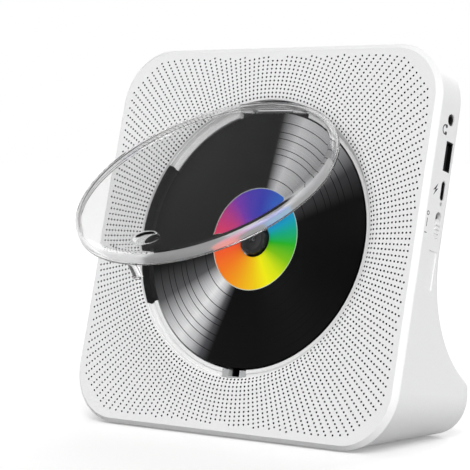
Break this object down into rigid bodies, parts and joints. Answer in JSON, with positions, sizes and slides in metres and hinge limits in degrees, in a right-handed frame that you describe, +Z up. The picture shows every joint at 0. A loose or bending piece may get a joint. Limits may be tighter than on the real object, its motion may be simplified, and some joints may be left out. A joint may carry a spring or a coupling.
{
  "type": "desktop disc player",
  "caption": "Square desktop disc player that leans back on a flared foot, with a round clear lift-up cover over the disc and a pierced front.",
  "frame": {"origin": "centre of the rubber foot pad's underside", "axes": "+X right as seen from the front, -Y towards the front, +Z up"},
  "size_m": [0.1833, 0.1299, 0.178],
  "materials": {
    "white_shell": "fine satin",
    "white_trim": "satin",
    "black_well": "satin",
    "clear_cover": "polished clear",
    "clear_catch": "translucent",
    "black_rubber": "matt",
    "steel": "bright",
    "plated_steel": "plated",
    "disc_poly": "polished",
    "hub_black": "moulded",
    "sled_black": "satin",
    "lens_clear": "polished",
    "gear_white": "moulded",
    "board_green": "solder mask",
    "chip_black": "moulded",
    "tongue_white": "moulded",
    "tongue_black": "moulded",
    "light_pipe": "translucent",
    "speaker_foam": "foam",
    "speaker_steel": "black",
    "cone_paper": "pressed",
    "ferrite": "matt",
    "cell_wrap": "plastic sleeve"
  },
  "bodies": {
    "housing": {"front_panel": "white_shell", "rear_shell": "white_shell", "foot_pad": "black_rubber", "case_screws": "plated_steel", "bezel_ring": "white_trim", "disc_well": "black_well", "well_screws": "steel", "latch_catch": "clear_catch", "hinge_pin": "plated_steel", "spindle_motor": "steel", "mechanism_plate": "steel", "rubber_isolators": "black_rubber", "shoulder_screws": "steel", "guide_rods": "plated_steel", "gear_axle": "steel", "sled_motor": "steel", "main_board": "board_green", "board_parts": "chip_black", "board_screws": "steel", "port_board": "board_green", "aux_jack": "chip_black", "usb_a_shell": "plated_steel", "usb_a_tongue": "tongue_white", "usb_c_shell": "plated_steel", "usb_c_tongue": "tongue_black", "charge_light": "light_pipe", "power_switch": "chip_black", "button_board": "board_green", "tact_switches": "chip_black", "ir_receiver": "chip_black", "speaker_screws": "steel", "battery_cells": "cell_wrap", "battery_cradle": "black_well", "speaker_gasket_left": "speaker_foam", "speaker_frame_left": "speaker_steel", "speaker_cone_left": "cone_paper", "speaker_magnet_left": "ferrite", "speaker_gasket_right": "speaker_foam", "speaker_frame_right": "speaker_steel", "speaker_cone_right": "cone_paper", "speaker_magnet_right": "ferrite"},
    "cover_lid": {"cover": "clear_cover", "cover_knuckles": "clear_cover", "cover_hook": "clear_cover"},
    "spindle": {"disc": "disc_poly", "turntable": "hub_black", "clamp_balls": "plated_steel", "spindle_shaft": "steel"},
    "sled": {"pickup_body": "sled_black", "pickup_lens": "lens_clear", "sled_rack": "gear_white"},
    "reduction_gear": {"sled_gear": "gear_white"},
    "drive_pinion": {"motor_pinion": "gear_white"},
    "power_slider": {"switch_knob": "white_trim"},
    "button_body_1": {"button_1": "white_shell"},
    "button_body_2": {"button_2": "white_shell"},
    "button_body_3": {"button_3": "white_shell"},
    "button_body_4": {"button_4": "white_shell"},
    "button_body_5": {"button_5": "white_shell"}
  },
  "joints": [
    {"name": "cover_hinge", "type": "hinge", "parent": "housing", "child": "cover_lid", "pos_m": [0, 0.01042, 0.14772], "axis": [1, 0, 0], "range_deg": [0, 42.3]},
    {"name": "disc_spin", "type": "hinge", "parent": "housing", "child": "spindle", "pos_m": [0, -0.011, 0.09], "axis": [0, -0.9659, 0.2588], "continuous": true},
    {"name": "pickup_slide", "type": "slide", "parent": "housing", "child": "sled", "axis": [0, -0.2588, -0.9659], "range_m": [0, 0.031]},
    {"name": "gear_spin", "type": "hinge", "parent": "housing", "child": "reduction_gear", "pos_m": [0.0278, -0.00524, 0.0574], "axis": [0, -0.9659, 0.2588], "range_deg": [0, 370.1]},
    {"name": "pinion_spin", "type": "hinge", "parent": "housing", "child": "drive_pinion", "pos_m": [0.0394, -0.00524, 0.0574], "axis": [0, -0.9659, 0.2588], "range_deg": [-1777, 0]},
    {"name": "power_slide", "type": "slide", "parent": "housing", "child": "power_slider", "axis": [0, 0.2588, 0.9659], "range_m": [0, 0.003]},
    {"name": "button_press_1", "type": "slide", "parent": "housing", "child": "button_body_1", "axis": [0, -0.2588, -0.9659], "range_m": [0, 0.0006], "stiffness_N_per_m": 1200, "springref_m": -0.0002},
    {"name": "button_press_2", "type": "slide", "parent": "housing", "child": "button_body_2", "axis": [0, -0.2588, -0.9659], "range_m": [0, 0.0006], "stiffness_N_per_m": 1200, "springref_m": -0.0002},
    {"name": "button_press_3", "type": "slide", "parent": "housing", "child": "button_body_3", "axis": [0, -0.2588, -0.9659], "range_m": [0, 0.0006], "stiffness_N_per_m": 1200, "springref_m": -0.0002},
    {"name": "button_press_4", "type": "slide", "parent": "housing", "child": "button_body_4", "axis": [0, -0.2588, -0.9659], "range_m": [0, 0.0006], "stiffness_N_per_m": 1200, "springref_m": -0.0002},
    {"name": "button_press_5", "type": "slide", "parent": "housing", "child": "button_body_5", "axis": [0, -0.2588, -0.9659], "range_m": [0, 0.0006], "stiffness_N_per_m": 1200, "springref_m": -0.0002}
  ],
  "couplings": [
    {"joint": "gear_spin", "follows": "pickup_slide", "rad_per_m": 208.33},
    {"joint": "pinion_spin", "follows": "pickup_slide", "rad_per_m": -1000}
  ]
}
